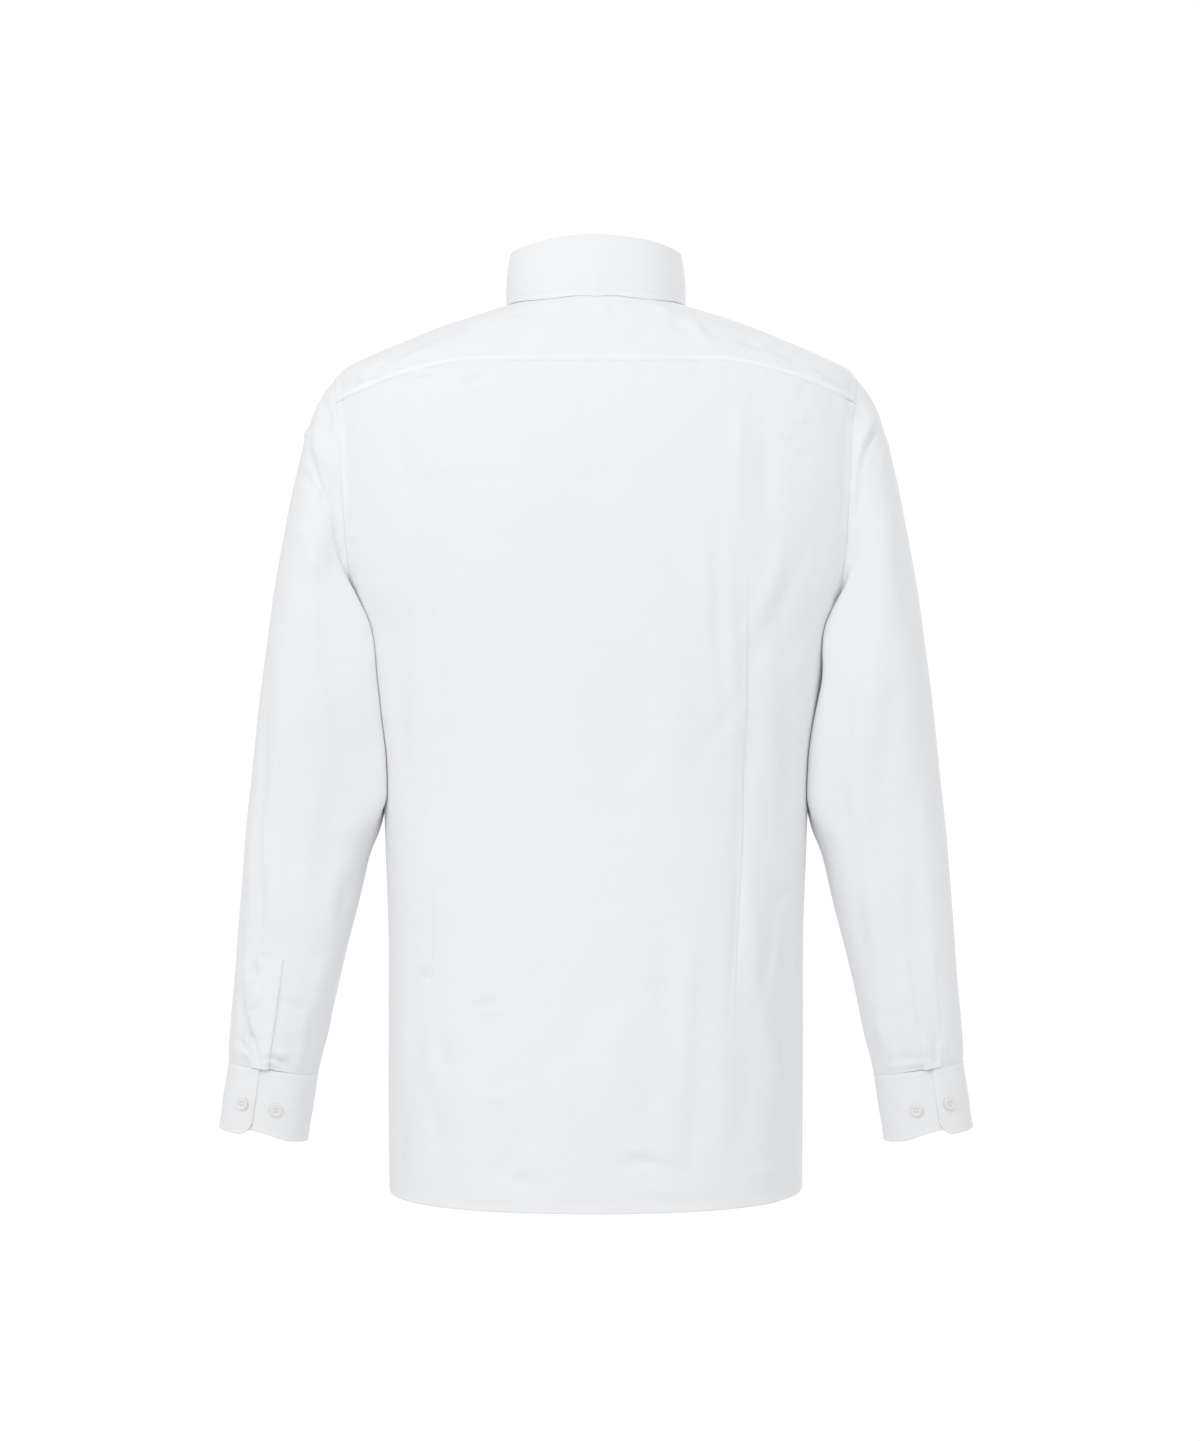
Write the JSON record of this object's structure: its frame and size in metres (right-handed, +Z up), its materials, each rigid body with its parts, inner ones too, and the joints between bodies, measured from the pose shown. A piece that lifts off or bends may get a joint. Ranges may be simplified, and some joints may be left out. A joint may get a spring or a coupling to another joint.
{
  "type": "long sleeve dress shirt",
  "caption": "Plain long sleeve dress shirt, filled out as if worn, with turned-down collar, back yoke, darts and buttoned barrel cuffs.",
  "frame": {"origin": "middle of the neck opening, level with the inner ends of the shoulders, where the wearer's neck and shoulders hold the shirt", "axes": "+Z up along the body, -Y to the front, +X to the wearer's left"},
  "size_m": [0.6574, 0.2746, 0.8255],
  "materials": {
    "cotton_poplin": "plain weave, soft and matt",
    "interlined_cotton": "plain weave over interlining, firm and smooth",
    "pearl_button": "pearly, polished"
  },
  "bodies": {
    "root": {"back_panel": "cotton_poplin", "yoke": "cotton_poplin", "left_front": "cotton_poplin", "right_front": "cotton_poplin", "left_sleeve": "cotton_poplin", "right_sleeve": "cotton_poplin", "left_sleeve_placket": "cotton_poplin", "right_sleeve_placket": "cotton_poplin", "left_cuff": "interlined_cotton", "right_cuff": "interlined_cotton", "collar_stand": "interlined_cotton", "collar_leaf": "interlined_cotton", "left_cuff_button_outer": "pearl_button", "left_cuff_button_inner": "pearl_button", "right_cuff_button_outer": "pearl_button", "right_cuff_button_inner": "pearl_button", "front_button_1": "pearl_button", "front_button_2": "pearl_button", "front_button_3": "pearl_button", "front_button_4": "pearl_button", "front_button_5": "pearl_button", "front_button_6": "pearl_button", "collar_button": "pearl_button"}
  },
  "joints": []
}
